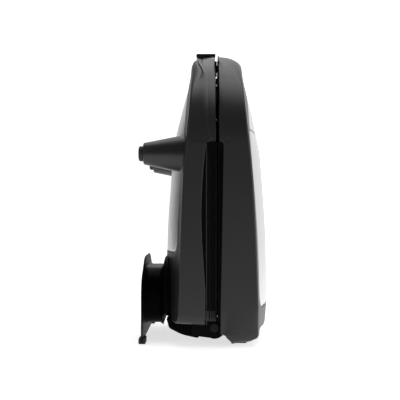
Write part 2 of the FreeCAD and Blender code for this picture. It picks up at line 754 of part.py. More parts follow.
def stand_shoes():
    return Part.makeCompound(stand_shoe_solids())


def stand_screws():
    screws = []
    seat = STAND_FACE_U + STAND_SINK
    for y, z in STAND_SCREWS:
        head = x_rod(-1, seat, seat + STAND_HEAD, y, z, STAND_HEAD_R)
        shank = x_rod(-1, STAND_FACE_U, seat + 0.1, y, z, STAND_SHANK_R)
        screws.append(head.fuse(shank).removeSplitter())
    return Part.makeCompound(screws)


def heel_solids():
    """Soft heels under the lid's hinge end, for standing upright."""
    return both_sides(block(1, HEEL_U[0], HEEL_U[1], HEEL_Y[0], HEEL_Y[1], 0, LID_BOTTOM + HEEL_SEAT))


def lid_heels():
    return Part.makeCompound(heel_solids())


def lid_rear_relief():
    """Room for the base's rear cover while the lid swings under it."""
    outer = EAR_OUTER_Y + HEAD_ROOM
    return block(1, -1, RELIEF_U, -outer, outer, 0, RELIEF_Z)


def lid_shell():
    body = shell(1).cut(lid_rear_relief())
    for heel in heel_solids():
        body = body.cut(heel)
    return largest(body.cut(fused(lamp_solids())))


def base_shell():
    body = shell(-1)
    slot_u0 = STEM_U[0] - SLOT_FIT
    slot_u1 = STEM_U[1] + SLOT_FIT
    slot_y0 = CARRIAGE_Y[0] - LATCH_TRAVEL - 0.2
    slot_y1 = CARRIAGE_Y[1] + 0.3
    body = body.cut(block(-1, slot_u0, slot_u1, slot_y0, slot_y1, CARRIAGE_Z - 2, HIGH))
    return largest(body)


def lamp_solids():
    return [x_rod(1, LENS_BACK_U - 2, FAR, y, z, LENS_R + LENS_FIT) for y, z in LAMPS]


def lamp_lens(index):
    y, z = LAMPS[index]
    return x_rod(1, LENS_BACK_U, FAR, y, z, LENS_R).common(crowned_block(1, -LENS_PROUD))


def lamp_holder():
    z = LAMPS[0][1]
    plate = block(1, LENS_BACK_U - 6, LENS_BACK_U - 4, -20, 20, z - 8, z + 8)
    tubes = [x_rod(1, LENS_BACK_U - 4, LENS_BACK_U - 0.2, y, z, LENS_R - 1) for y, z in LAMPS]
    return fused([plate] + tubes)


def lid_cover():
    return cover(1, 0, CROSS_SEAM_Z)


def lid_cover_front():
    return cover(1, CROSS_SEAM_Z + CROSS_SEAM, HIGH).cut(fused(lamp_solids()))


def keeper_window(side):
    """The slot in a frame's liner that the lid's keeper passes through."""
    depth = RIM_U + LINER + 1
    half = KEEPER_NECK_HALF + KEEPER_FIT if side > 0 else KEEPER_HEAD_HALF + 1.5
    spare = KEEPER_FIT if side > 0 else 1.6
    return block(side, -1, depth, -half, half, KEEPER_LOW - spare, KEEPER_HIGH + spare)


def lid_keeper():
    """A T-shaped tongue, fixed in the lid, that reaches into the base's handle end."""
    low, high = KEEPER_LOW, KEEPER_HIGH
    head_u0 = -KEEPER_HEAD_U[1]
    head_u1 = -KEEPER_HEAD_U[0]
    root_u = RIM_U + LINER + 0.1
    neck = block(1, head_u1, KEEPER_ROOT_U, -KEEPER_NECK_HALF, KEEPER_NECK_HALF, low, high)
    head = block(1, head_u0, head_u1, -KEEPER_HEAD_HALF, KEEPER_HEAD_HALF, low, high)
    root = block(1, root_u, KEEPER_ROOT_U, -KEEPER_ROOT_HALF, KEEPER_ROOT_HALF, low - 2.6, high + 1.6)
    return fused([neck, head, root])


def latch_slider():
    """The thumb slide: a cap, a stem through the shell's slot, and the finger that traps the keeper."""
    under = LATCH_TOP - CAP
    cap = y_prism(-1, CAP_Y[0], CAP_Y[1], [
        (CAP_U[0], under, 0.8), (CAP_U[1], under, 0), (CAP_U[1], LATCH_TOP, 0.8), (CAP_U[0], LATCH_TOP, 0.8),
    ])
    grip = y_rod(-1, CAP_U[1] - 2.5, LATCH_TOP - 2.2, CAP_Y[0], CAP_Y[1], GRIP_R)
    y0, y1 = CARRIAGE_Y
    stem = block(-1, STEM_U[0], STEM_U[1], y0, y1, CARRIAGE_Z, under + 0.3)
    carriage = block(-1, CARRIAGE_U[0], CARRIAGE_U[1], y0, y1, CARRIAGE_Z, CARRIAGE_Z + CARRIAGE)
    finger_y0, finger_y1 = FINGER_Y
    finger = block(-1, CARRIAGE_U[0], FINGER_U, finger_y0, finger_y1, KEEPER_LOW - 0.4, CARRIAGE_Z + 0.3)
    return fused([cap, grip, stem, carriage, finger])


def latch_guide():
    """A rail under the handle's top wall that the slide's carriage runs beside."""
    low = KEEPER_LOW - 0.4
    high = CARRIAGE_Z + 0.1
    y0, y1 = GUIDE_Y
    rail = block(-1, GUIDE_U, GUIDE_U + GUIDE, y0, y1, low, high)
    end = block(-1, RIM_U + LINER + 0.2, GUIDE_U + GUIDE, y0, y0 + 5, low, high)
    return fused([rail, end])


PARTS = {
    "base_shell": base_shell,
    "base_cover": lambda: cover(-1, 0, HIGH),
    "base_frame": lambda: frame(-1),
    "base_plate": lambda: cooking_plate(-1),
    "base_heater": lambda: heater(-1),
    "base_reflector": lambda: reflector(-1),
    "base_screws": lambda: frame_screws(-1),
    "thermostat": thermostat,
    "thermal_fuse": thermal_fuse,
    "terminal_block": terminal_block,
    "base_wires": base_wires,
    "rear_cover": rear_cover,
    "cord_gland": cord_gland,
    "hinge_ears": hinge_ears,
    "hinge_pins": hinge_pins,
    "front_foot_left": lambda: foot(0),
    "front_foot_right": lambda: foot(1),
    "foot_pad_left": lambda: foot_pad(0),
    "foot_pad_right": lambda: foot_pad(1),
    "cord_spool": cord_spool,
    "stand_plate": stand_plate,
    "stand_shoes": stand_shoes,
    "stand_screws": stand_screws,
    "latch_guide": latch_guide,
    "latch_slider": latch_slider,
    "lid_shell": lid_shell,
    "lid_cover": lid_cover,
    "lid_cover_front": lid_cover_front,
    "lid_frame": lambda: frame(1),
    "lid_plate": lambda: cooking_plate(1),
    "lid_heater": lambda: heater(1),
    "lid_reflector": lambda: reflector(1),
    "lid_screws": lambda: frame_screws(1),
    "lid_wires": lid_wires,
    "lid_heels": lid_heels,
    "lid_keeper": lid_keeper,
    "hinge_arms": hinge_arms,
    "lamp_holder": lamp_holder,
    "power_lens": lambda: lamp_lens(0),
    "ready_lens": lambda: lamp_lens(1),
}

os.makedirs("parts", exist_ok=True)
for name, make in PARTS.items():
    solid = make()
    solid.exportStep(os.path.join("parts", name + ".step"))
    print(f"{name:18s} {len(solid.Solids)} solids, valid {solid.isValid()}, {solid.Volume / 1000:8.2f} cm3")
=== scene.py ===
import json
import math

import bmesh
import bpy
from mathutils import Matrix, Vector


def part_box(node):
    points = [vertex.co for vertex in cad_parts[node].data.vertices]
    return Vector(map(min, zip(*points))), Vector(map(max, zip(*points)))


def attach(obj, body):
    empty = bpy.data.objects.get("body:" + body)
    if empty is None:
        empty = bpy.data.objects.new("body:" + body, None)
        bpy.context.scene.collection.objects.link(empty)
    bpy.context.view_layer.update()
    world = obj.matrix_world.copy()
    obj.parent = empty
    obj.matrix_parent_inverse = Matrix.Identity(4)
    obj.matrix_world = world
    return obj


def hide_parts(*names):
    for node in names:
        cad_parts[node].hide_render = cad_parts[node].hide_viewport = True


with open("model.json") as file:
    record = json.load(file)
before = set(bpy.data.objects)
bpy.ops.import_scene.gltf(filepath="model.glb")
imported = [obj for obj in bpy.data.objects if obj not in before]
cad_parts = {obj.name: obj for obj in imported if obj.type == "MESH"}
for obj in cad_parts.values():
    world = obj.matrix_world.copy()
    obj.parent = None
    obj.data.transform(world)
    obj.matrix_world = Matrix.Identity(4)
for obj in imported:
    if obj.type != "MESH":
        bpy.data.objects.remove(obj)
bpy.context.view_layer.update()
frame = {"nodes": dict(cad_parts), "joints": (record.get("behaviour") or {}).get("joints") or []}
nodes = frame["nodes"]
MM = 0.001

# ---------------------------------------------------------------------------------------------------------
# The studio: a white table that curves up into a white wall, an overhead softbox, two side softboxes and a
# black card at the left. The camera stands about a metre away, a little below the appliance's middle.
# ---------------------------------------------------------------------------------------------------------
scene = bpy.context.scene
scene.view_settings.view_transform = "Standard"

camera_distance = 0.975
camera_height = 0.121
camera_data = bpy.data.cameras.new("studio_camera")
camera_data.lens = 86.3
camera_data.sensor_width = 36.0
camera_data.shift_x = -0.0125
camera_data.shift_y = 0.0325
camera_data.clip_end = 50.0
camera = bpy.data.objects.new("studio_camera", camera_data)
camera.location = (0.0, -camera_distance, camera_height)
camera.rotation_euler = (math.radians(90), 0, 0)
scene.collection.objects.link(camera)
scene.camera = camera

world = bpy.data.worlds.new("studio_air")
world.use_nodes = True
world.node_tree.nodes["Background"].inputs["Color"].default_value = (1.0, 1.0, 1.0, 1.0)
world.node_tree.nodes["Background"].inputs["Strength"].default_value = 0.12
scene.world = world


def softbox(name, place, aim, size, power):
    data = bpy.data.lights.new(name, "AREA")
    data.shape = "RECTANGLE"
    data.size, data.size_y = size
    data.energy = power
    light = bpy.data.objects.new(name, data)
    light.location = place
    heading = Vector(aim) - Vector(place)
    light.rotation_euler = heading.to_track_quat("-Z", "Y").to_euler()
    scene.collection.objects.link(light)
    return light


softbox("overhead_softbox", (0.2, 0.25, 1.4), (0, 0, 0.1), (1.6, 1.2), 11.0)
softbox("right_softbox", (1.5, -0.5, 0.3), (0, 0, 0.1), (0.7, 1.0), 7.0)
softbox("left_softbox", (-1.0, -0.9, 0.9), (0, 0, 0.15), (0.2, 0.6), 1.6)


def black_flag(name, place, width, height):
    """A black card beside the table, which keeps white out of the silver's left side."""
    mesh = bpy.data.meshes.new(name)
    bm = bmesh.new()
    bmesh.ops.create_grid(bm, x_segments=1, y_segments=1, size=0.5)
    for vert in bm.verts:
        vert.co = (place[0] + vert.co.x * width, place[1], place[2] + vert.co.y * height)
    bm.to_mesh(mesh)
    bm.free()
    card = bpy.data.objects.new(name, mesh)
    scene.collection.objects.link(card)
    paint = bpy.data.materials.new(name)
    paint.use_nodes = True
    shader = paint.node_tree.nodes["Principled BSDF"]
    shader.inputs["Base Color"].default_value = (0.03, 0.03, 0.03, 1.0)
    shader.inputs["Roughness"].default_value = 0.9
    mesh.materials.append(paint)


black_flag("left_flag", (-1.25, 1.45, 0.6), 1.2, 1.6)


def table_and_wall():
    """One sheet: the table top, a curve, and the wall behind."""
    half_width = 1.25
    right_width = 2.6
    bend = 0.6
    depth = 1.6
    mesh = bpy.data.meshes.new("studio_sweep")
    bm = bmesh.new()
    line = [bm.verts.new((-half_width, y, 0.0)) for y in (-1.2, 0.0, depth)]
    steps = 16
    for step in range(1, steps + 1):
        angle = math.radians(90) * step / steps
        line.append(bm.verts.new((-half_width, depth + bend * math.sin(angle), bend * (1 - math.cos(angle)))))
    line.append(bm.verts.new((-half_width, depth + bend, 2.6)))
    edges = [bm.edges.new(pair) for pair in zip(line, line[1:])]
    pulled = bmesh.ops.extrude_edge_only(bm, edges=edges)
    moved = [item for item in pulled["geom"] if isinstance(item, bmesh.types.BMVert)]
    bmesh.ops.translate(bm, verts=moved, vec=(half_width + right_width, 0.0, 0.0))
    bmesh.ops.recalc_face_normals(bm, faces=bm.faces)
    for face in bm.faces:
        face.smooth = True
    bm.to_mesh(mesh)
    bm.free()
    sweep_object = bpy.data.objects.new("studio_sweep", mesh)
    scene.collection.objects.link(sweep_object)
    paint = bpy.data.materials.new("matt_white_sweep")
    paint.use_nodes = True
    shader = paint.node_tree.nodes["Principled BSDF"]
    shader.inputs["Base Color"].default_value = (0.9, 0.9, 0.9, 1.0)
    shader.inputs["Roughness"].default_value = 0.9
    shader.inputs["Specular IOR Level"].default_value = 0.1
    shader.inputs["Emission Color"].default_value = (1.0, 1.0, 1.0, 1.0)
    shader.inputs["Emission Strength"].default_value = 0.7
    mesh.materials.append(paint)


table_and_wall()

# ---------------------------------------------------------------------------------------------------------
# Base shell: the black moulded rail round the lower half. It is injection-moulded plastic with a soft
# gloss, open at the seam and round the silver cover, and is screwed to the inner frame from inside.
# ---------------------------------------------------------------------------------------------------------
hinge = next(joint for joint in frame["joints"] if joint["name"] == "lid_hinge")
HINGE_BEHIND_SEAM = 2.7
SEAM_X = hinge["pos_m"][0] / MM + HINGE_BEHIND_SEAM
shell_low, shell_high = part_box("lid_shell")
HALF_WIDTH = shell_high[1] / MM
LID_TOP = shell_high[2] / MM
LID_LOW = shell_low[2] / MM
BASE_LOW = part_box("base_shell")[0][2] / MM
BASE_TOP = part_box("base_shell")[1][2] / MM
RECESS_TOP = 185.0
ARC_STEPS = 9


def turned(side, u, y, z):
    """A point in metres; u is its depth in millimetres from the seam, towards the lid if side is 1."""
    return ((SEAM_X + side * u) * MM, y * MM, z * MM)


def shrunk(corners, inset):
    """A convex outline with every run moved inwards; each corner is (a, b, radius)."""
    count = len(corners)
    flat = [Vector((a, b)) for a, b, r in corners]
    area = sum(flat[i - 1].cross(flat[i]) for i in range(count))
    turn = 1 if area > 0 else -1
    moved = []
    for i, (a, b, radius) in enumerate(corners):
        into = (flat[i] - flat[i - 1]).normalized()
        out = (flat[(i + 1) % count] - flat[i]).normalized()
        first = Vector((-into.y, into.x)) * turn
        second = Vector((-out.y, out.x)) * turn
        here = flat[i] + (first + second) * (inset / (1 + first.dot(second)))
        moved.append((here.x, here.y, max(radius - inset, 0.3)))
    return moved


SHOULDERS = (2, 5)
RUN_SHARES = (0.14, 0.28, 0.42, 0.56, 0.68, 0.78, 0.86, 0.92, 0.96, 0.982, 0.9895, 0.9935, 0.997)
SHOULDER_SHARES = (0.009, 0.018, 0.028, 0.037, 0.046, 0.055, 0.075)


def loop_points(corners, inset=0.0, run_steps=6, fine=False):
    """Points along an outline with round corners, the same number whatever the inset.
    A fine loop has extra points round the top of the recess, on its uprights and shoulders."""
    shaped = shrunk(corners, inset)
    count = len(shaped)
    arcs = []
    for i, (a, b, radius) in enumerate(shaped):
        here = Vector((a, b))
        back = (Vector(shaped[i - 1][:2]) - here).normalized()
        ahead = (Vector(shaped[(i + 1) % count][:2]) - here).normalized()
        half = back.angle(ahead) / 2
        reach = radius / math.tan(half)
        centre = here + (back + ahead).normalized() * (radius / math.sin(half))
        first = here + back * reach - centre
        turn = first.angle_signed(here + ahead * reach - centre)
        shares = [step / ARC_STEPS for step in range(ARC_STEPS + 1)]
        if fine and i == SHOULDERS[0]:
            shares = sorted(shares + list(SHOULDER_SHARES))
        if fine and i == SHOULDERS[1]:
            shares = sorted(shares + [1 - share for share in SHOULDER_SHARES])
        points = []
        for share in shares:
            angle = -turn * share
            spun = Vector((
                first.x * math.cos(angle) - first.y * math.sin(angle),
                first.x * math.sin(angle) + first.y * math.cos(angle),
            ))
            points.append(centre + spun)
        arcs.append(points)
    ring = []
    for i, points in enumerate(arcs):
        ring += points
        begin = points[-1]
        finish = arcs[(i + 1) % count][0]
        shares = [step / run_steps for step in range(1, run_steps)]
        if fine and i == SHOULDERS[0] - 1:
            shares = RUN_SHARES
        if fine and i == SHOULDERS[1]:
            shares = [1 - share for share in reversed(RUN_SHARES)]
        ring += [begin.lerp(finish, share) for share in shares]
    return [(p.x, p.y) for p in ring]


def sweep(name, rings, close_first=False, close_last=False, closed_tube=False):
    """Extrudes the first ring to each following ring in turn and returns the piece.
    The rings have the same number of points, in metres."""
    bm = bmesh.new()
    order = bm.verts.layers.int.new("order")
    start = []
    for index, point in enumerate(rings[0]):
        vert = bm.verts.new(point)
        vert[order] = index
        start.append(vert)
    edges = [bm.edges.new((start[i], start[(i + 1) % len(start)])) for i in range(len(start))]
    if close_first:
        cap_ring(bm, edges)
    for ring in rings[1:]:
        pulled = bmesh.ops.extrude_edge_only(bm, edges=edges)["geom"]
        edges = [item for item in pulled if isinstance(item, bmesh.types.BMEdge)]
        new_verts = [item for item in pulled if isinstance(item, bmesh.types.BMVert)]
        for vert in new_verts:
            vert.co = ring[vert[order]]
    if close_last:
        cap_ring(bm, edges)
    if closed_tube:
        bmesh.ops.remove_doubles(bm, verts=bm.verts, dist=1e-6)
    return solid_piece(name, bm)


def cap_ring(bm, edges):
    """Closes a ring with one face, and lets it be cut into triangles."""
    made = bmesh.ops.contextual_create(bm, geom=edges)["faces"]
    bmesh.ops.triangulate(bm, faces=made)


def solid_piece(name, bm, angle=35.0):
    """Turns a bmesh into a piece with outward normals, shaded smooth except at sharp edges."""
    bmesh.ops.recalc_face_normals(bm, faces=bm.faces)
    for face in bm.faces:
        face.smooth = True
    for edge in bm.edges:
        if len(edge.link_faces) == 2 and edge.calc_face_angle(0) > math.radians(angle):
            edge.smooth = False
    mesh = bpy.data.meshes.new(name)
    bm.to_mesh(mesh)
    bm.free()
    piece = bpy.data.objects.new(name, mesh)
    scene.collection.objects.link(piece)
    return piece


def finish_piece(piece, material, body, slot_name, *cad_nodes):
    """Gives a new piece its finish, its body and the CAD nodes it stands for."""
    piece.data.materials.clear()
    piece.data.materials.append(material)
    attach(piece, body)
    if cad_nodes:
        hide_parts(*cad_nodes)
    return piece


def shell_corners(low, top):
    """The outline from the front: straight sides, round shoulders and a bowed handle end."""
    shoulder = top - 59
    corner_round, shoulder_round, handle_round = 10, 75, 118
    handle_half = 45.2
    return [
        (-HALF_WIDTH, low, corner_round), (HALF_WIDTH, low, corner_round),
        (HALF_WIDTH, shoulder, shoulder_round),
        (handle_half, top, handle_round), (-handle_half, top, handle_round),
        (-HALF_WIDTH, shoulder, shoulder_round),
    ]


COVER_TOP = 250
BASE_COVER_LOW = 84
LID_COVER_LOW = 34


def cover_corners(low):
    """The outline of a silver cover, inside the shell's by an even margin at the sides."""
    wide = HALF_WIDTH - 16
    shoulder = 197
    corner_round, shoulder_round, handle_round = 14, 61, 88
    handle_half = 46
    return [
        (-wide, low, corner_round), (wide, low, corner_round), (wide, shoulder, shoulder_round),
        (handle_half, COVER_TOP, handle_round), (-handle_half, COVER_TOP, handle_round),
        (-wide, shoulder, shoulder_round),
    ]


CREST_HEIGHTS = (-10, 30, 65, 105, 150, 190, 225, 250, 290)
CREST_DEPTHS = (46.0, 49.6, 50.0, 48.9, 45.9, 42.1, 33.6, 27.0, 23.0)


def crest_depth(z):
    """The depth of the crowned face on the middle plane, as a smooth curve through its stations."""
    count = len(CREST_HEIGHTS)
    i = max(0, min(count - 2, sum(1 for h in CREST_HEIGHTS if h <= z) - 1))
    h0, h1 = CREST_HEIGHTS[i], CREST_HEIGHTS[i + 1]
    d0, d1 = CREST_DEPTHS[i], CREST_DEPTHS[i + 1]

    def slope(k):
        low = max(0, k - 1)
        high = min(count - 1, k + 1)
        return (CREST_DEPTHS[high] - CREST_DEPTHS[low]) / (CREST_HEIGHTS[high] - CREST_HEIGHTS[low])

    t = (z - h0) / (h1 - h0)
    span = h1 - h0
    return (
        (2 * t ** 3 - 3 * t ** 2 + 1) * d0
        + (t ** 3 - 2 * t ** 2 + t) * span * slope(i)
        + (-2 * t ** 3 + 3 * t ** 2) * d1
        + (t ** 3 - t ** 2) * span * slope(i + 1)
    )


def face_depth(y, z):
    """Depth of the crowned outer face from the seam."""
    rail_at_table, rail_fall = 34.8, 2.8e-4
    rail = rail_at_table - rail_fall * z * z
    crest = crest_depth(z)
    return crest - (crest - rail) * (y / HALF_WIDTH) ** 2


def smooth_step(low, high, value):
    """Goes softly from 0 at low to 1 at high; low may be the greater of the two."""
    t = min(1.0, max(0.0, (value - low) / (high - low)))
    return t * t * (3 - 2 * t)


def seam_edge(side, z):
    """Where a shell's rim stands: close to the seam at the handle, cut back beside the plates."""
    handle = 1.4 if side > 0 else 4.9 + 7.0 * smooth_step(BASE_TOP - 27, BASE_TOP - 3, z)
    if side > 0:
        heel_cut = (4.6 + 6.0 * smooth_step(11.0, 2.0, z)) * smooth_step(12.2, 11.0, z)
        cut = 2.0 + 3.4 * (z / RECESS_TOP) + heel_cut
    else:
        bow = math.sin(math.pi * min(1.0, max(0.0, (z - 55) / (RECESS_TOP - 45))))
        cut = 11.6 - 2.3 * (z / RECESS_TOP) + 4.6 * bow
    return cut + (handle - cut) * smooth_step(RECESS_TOP - 1.2, RECESS_TOP + 1.4, z)


def blended(corners, side_inset, handle_inset):
    """Outline points moved in by one amount at the sides and another at the handle end."""
    sides = loop_points(corners, side_inset, fine=True)
    handle = loop_points(corners, handle_inset, fine=True)
    points = []
    for (y0, z0), (y1, z1) in zip(sides, handle):
        share = handle_share(z0)
        points.append((y0 + (y1 - y0) * share, z0 + (z1 - z0) * share))
    return points


def handle_share(z):
    """How far a place belongs to the handle end: 0 along the sides, 1 at the very end."""
    return smooth_step(LID_TOP - 58, LID_TOP - 2, z) ** 1.6


def shell_rings(side, low, top, cover_low):
    """Rings from the inside of the rim, over the side wall and round the corner, to the cover's edge."""
    corners = shell_corners(low, top)
    wall = 2.5
    draft = 1.6
    seam_round = 7.0 if side < 0 else 0.8
    rim_in, rim_in_handle = 2.2, 12.0
    rim_back, rim_back_handle = 2.4, 24.0 if side > 0 else 18.0
    rim_back_hinge = 16.0

    def lip_round(z):
        """The seam-side edge is soft along the handle and crisp along the recess."""
        return 0.7 + (seam_round - 0.7) * smooth_step(RECESS_TOP + 1, RECESS_TOP + 16, z)

    def ring(inset, lift):
        points = loop_points(corners, inset, fine=True)
        return [turned(side, seam_edge(side, z) + lift, y, z) for y, z in points]

    rings = [ring(wall, 7.0), ring(wall, 0.5), ring(wall - 0.2, 0.15), ring(wall - 0.6, 0)]
    for step in range(6):
        angle = math.radians(18) * step
        placed = []
        outer_points = loop_points(corners, 0, fine=True)
        inner_points = loop_points(corners, 1.0, fine=True)
        for (y0, z0), (y1, z1) in zip(outer_points, inner_points):
            size = lip_round(z0)
            inset = min(size, 1.8 + 0.35 * size) * (1 - math.sin(angle))
            y = y0 + (y1 - y0) * inset
            z = z0 + (z1 - z0) * inset
            placed.append(turned(side, seam_edge(side, z0) + size * (1 - math.cos(angle)), y, z))
        rings.append(placed)
    outer = blended(corners, rim_in + draft, rim_in_handle + draft)
    edge = loop_points(cover_corners(cover_low), -0.5, fine=True)
    original = loop_points(corners, 0, fine=True)
    rail = []
    back = []
    for (y0, z0), (y1, z1), (y2, z2) in zip(original, outer, edge):
        level = (1 - smooth_step(LID_TOP - 150, LID_TOP - 6, z0)) * smooth_step(-6, 26, z0)
        own = face_depth(y1, z1)
        rail.append(own + (face_depth(y2, z2) - 0.7 - own) * level)
        size = rim_back + (rim_back_handle - rim_back) * handle_share(z0)
        back.append(size + (rim_back_hinge - size) * smooth_step(40, 4, z0) * (1 if side > 0 else 0))
    starts = [seam_edge(side, z) + lip_round(z) for y, z in original]
    for share in (0.2, 0.45, 0.7, 0.9, 1.0):
        points = loop_points(corners, draft * share, fine=True)
        placed = []
        for i, (y, z) in enumerate(points):
            finish_depth = max(rail[i] - back[i], starts[i] + 0.4)
            placed.append(turned(side, starts[i] + (finish_depth - starts[i]) * share, y, z))
        rings.append(placed)
    for step in range(1, 11):
        angle = math.radians(9) * step
        turned_in = 1 - math.cos(angle)
        points = blended(corners, draft + rim_in * turned_in, draft + rim_in_handle * turned_in)
        placed = []
        for i, (y, z) in enumerate(points):
            reach = min(back[i], rail[i] - starts[i] - 0.4)
            placed.append(turned(side, rail[i] - reach * (1 - math.sin(angle)), y, z))
        rings.append(placed)
    for share in (0.12, 0.35, 0.65, 0.9, 1.0):
        placed = []
        for (y0, z0), (y1, z1), start in zip(outer, edge, rail):
            y = y0 + (y1 - y0) * share
            z = z0 + (z1 - z0) * share
            lifted = (start - face_depth(y0, z0)) * (1 - share)
            placed.append(turned(side, face_depth(y, z) + lifted + 0.2 * smooth_step(0.7, 1.0, share), y, z))
        rings.append(placed)
    lip = loop_points(cover_corners(cover_low), -0.15, fine=True)
    for drop in (0.0, 0.5, 4.0):
        rings.append([turned(side, face_depth(y, z) - drop, y, z) for y, z in lip])
    return rings


def shader_of(material):
    return material.node_tree.nodes["Principled BSDF"]


def moulded_plastic(name, colour, roughness, grain=0.0004, depth=0.00002, haze=0.08):
    """Moulded plastic: fine skin grain, slow changes of gloss, and a little dust-grey in the colour."""
    material = bpy.data.materials.new(name)
    material.use_nodes = True
    tree = material.node_tree
    shader = shader_of(material)
    place = tree.nodes.new("ShaderNodeTexCoord")
    skin = tree.nodes.new("ShaderNodeTexNoise")
    skin.inputs["Scale"].default_value = 1.0 / grain
    skin.inputs["Detail"].default_value = 3.0
    bump = tree.nodes.new("ShaderNodeBump")
    bump.inputs["Strength"].default_value = 0.35
    bump.inputs["Distance"].default_value = depth
    flow = tree.nodes.new("ShaderNodeTexNoise")
    flow.inputs["Scale"].default_value = 22.0
    flow.inputs["Detail"].default_value = 5.0
    gloss = tree.nodes.new("ShaderNodeMapRange")
    gloss.inputs["To Min"].default_value = roughness - haze / 2
    gloss.inputs["To Max"].default_value = roughness + haze / 2
    tint = tree.nodes.new("ShaderNodeMix")
    tint.data_type = "RGBA"
    tint.inputs["A"].default_value = (*colour, 1.0)
    tint.inputs["B"].default_value = (*[c * 1.35 + 0.002 for c in colour], 1.0)
    tree.links.new(place.outputs["Object"], skin.inputs["Vector"])
    tree.links.new(place.outputs["Object"], flow.inputs["Vector"])
    tree.links.new(skin.outputs["Fac"], bump.inputs["Height"])
    tree.links.new(bump.outputs["Normal"], shader.inputs["Normal"])
    tree.links.new(flow.outputs["Fac"], gloss.inputs["Value"])
    tree.links.new(gloss.outputs["Result"], shader.inputs["Roughness"])
    tree.links.new(flow.outputs["Fac"], tint.inputs["Factor"])
    tree.links.new(tint.outputs["Result"], shader.inputs["Base Color"])
    return material


shell_black = moulded_plastic("black_moulded_shell", (0.0065, 0.0065, 0.007), 0.42)
base_shell = sweep("base_shell_rail", shell_rings(-1, BASE_LOW, BASE_TOP, BASE_COVER_LOW))
finish_piece(base_shell, shell_black, "base", "shell_black", "base_shell")


def handle_ring():
    """A plain black ring set in the base's handle end: the lip that the lid closes against."""
    corners = shell_corners(BASE_LOW, BASE_TOP)
    proud = loop_points(corners, 0.45, fine=True)
    hidden = loop_points(corners, 3.4, fine=True)
    middle = [
        (y0, z0) if z0 > RECESS_TOP + 1.2 else (y1, z1) for (y0, z0), (y1, z1) in zip(proud, hidden)
    ]
    rings = []
    centre_z = 120
    profile = (
        (2.2, 1.5), (0.9, 1.5), (0.4, 1.65), (0.1, 2.0), (0, 2.5), (0, 8), (0, 13.6), (2.2, 13.6), (2.2, 1.5),
    )
    for inset, depth in profile:
        shaped = []
        for y, z in middle:
            length = math.hypot(y, z - centre_z)
            shaped.append(turned(-1, depth, y - inset * y / length, z - inset * (z - centre_z) / length))
        rings.append(shaped)
    return sweep("base_handle_ring", rings, closed_tube=True)


finish_piece(handle_ring(), shell_black, "base", "frame_black")

# ---------------------------------------------------------------------------------------------------------
# Lid shell: the same moulding for the upper half, deeper at the hinge end, where it wraps down to the
# table and carries two soft heels.
# ---------------------------------------------------------------------------------------------------------
lid_shell = sweep("lid_shell_rail", shell_rings(1, LID_LOW, LID_TOP, LID_COVER_LOW))


def heel_rounded(piece, low):
    """Draws the hinge end's lower outer corner into a long round, as on a moulded heel."""
    radius = 27.0
    centre_u = 42.0 - radius
    centre_z = low + radius
    for vert in piece.data.vertices:
        u = vert.co.x / MM - SEAM_X
        z = vert.co.z / MM
        if z >= centre_z or u <= centre_u:
            continue
        away = Vector((u - centre_u, z - centre_z))
        lean = max(0.0, (away.x - radius)) * 0.75
        limit = radius + lean * (1 - smooth_step(0, radius, -away.y)) + max(0.0, 12 * (1 + away.y / radius))
        if away.length > limit:
            away = away.normalized() * limit
            vert.co.x = (SEAM_X + centre_u + away.x) * MM
            vert.co.z = (centre_z + away.y) * MM


heel_rounded(lid_shell, LID_LOW)
finish_piece(lid_shell, shell_black, "lid", "shell_black", "lid_shell")

# ---------------------------------------------------------------------------------------------------------
# Silver covers: thin satin sheet, crowned like a shield, with a rolled edge that drops into the shells.
# The lid's is in two pieces that meet at a cross seam near the handle.
# ---------------------------------------------------------------------------------------------------------
def satin_silver(name, colour, roughness):
    """Satin metal: hair-fine lines along the length, over a slow cloudiness."""
    material = bpy.data.materials.new(name)
    material.use_nodes = True
    tree = material.node_tree
    shader = shader_of(material)
    shader.inputs["Metallic"].default_value = 1.0
    place = tree.nodes.new("ShaderNodeTexCoord")
    stretch = tree.nodes.new("ShaderNodeMapping")
    stretch.inputs["Scale"].default_value = (900.0, 2600.0, 14.0)
    lines = tree.nodes.new("ShaderNodeTexNoise")
    lines.inputs["Scale"].default_value = 1.0
    lines.inputs["Detail"].default_value = 4.0
    cloud = tree.nodes.new("ShaderNodeTexNoise")
    cloud.inputs["Scale"].default_value = 9.0
    cloud.inputs["Detail"].default_value = 3.0
    gloss = tree.nodes.new("ShaderNodeMapRange")
    gloss.inputs["To Min"].default_value = roughness - 0.05
    gloss.inputs["To Max"].default_value = roughness + 0.07
    tint = tree.nodes.new("ShaderNodeMix")
    tint.data_type = "RGBA"
    tint.inputs["A"].default_value = (*[c * 0.94 for c in colour], 1.0)
    tint.inputs["B"].default_value = (*[min(1.0, c * 1.05) for c in colour], 1.0)
    bump = tree.nodes.new("ShaderNodeBump")
    bump.inputs["Strength"].default_value = 0.12
    bump.inputs["Distance"].default_value = 0.00002
    tree.links.new(place.outputs["Object"], stretch.inputs["Vector"])
    tree.links.new(stretch.outputs["Vector"], lines.inputs["Vector"])
    tree.links.new(place.outputs["Object"], cloud.inputs["Vector"])
    tree.links.new(lines.outputs["Fac"], gloss.inputs["Value"])
    tree.links.new(gloss.outputs["Result"], shader.inputs["Roughness"])
    tree.links.new(cloud.outputs["Fac"], tint.inputs["Factor"])
    tree.links.new(tint.outputs["Result"], shader.inputs["Base Color"])
    tree.links.new(lines.outputs["Fac"], bump.inputs["Height"])
    tree.links.new(bump.outputs["Normal"], shader.inputs["Normal"])
    return material


silver = satin_silver("satin_silver_sheet", (0.58, 0.585, 0.6), 0.3)


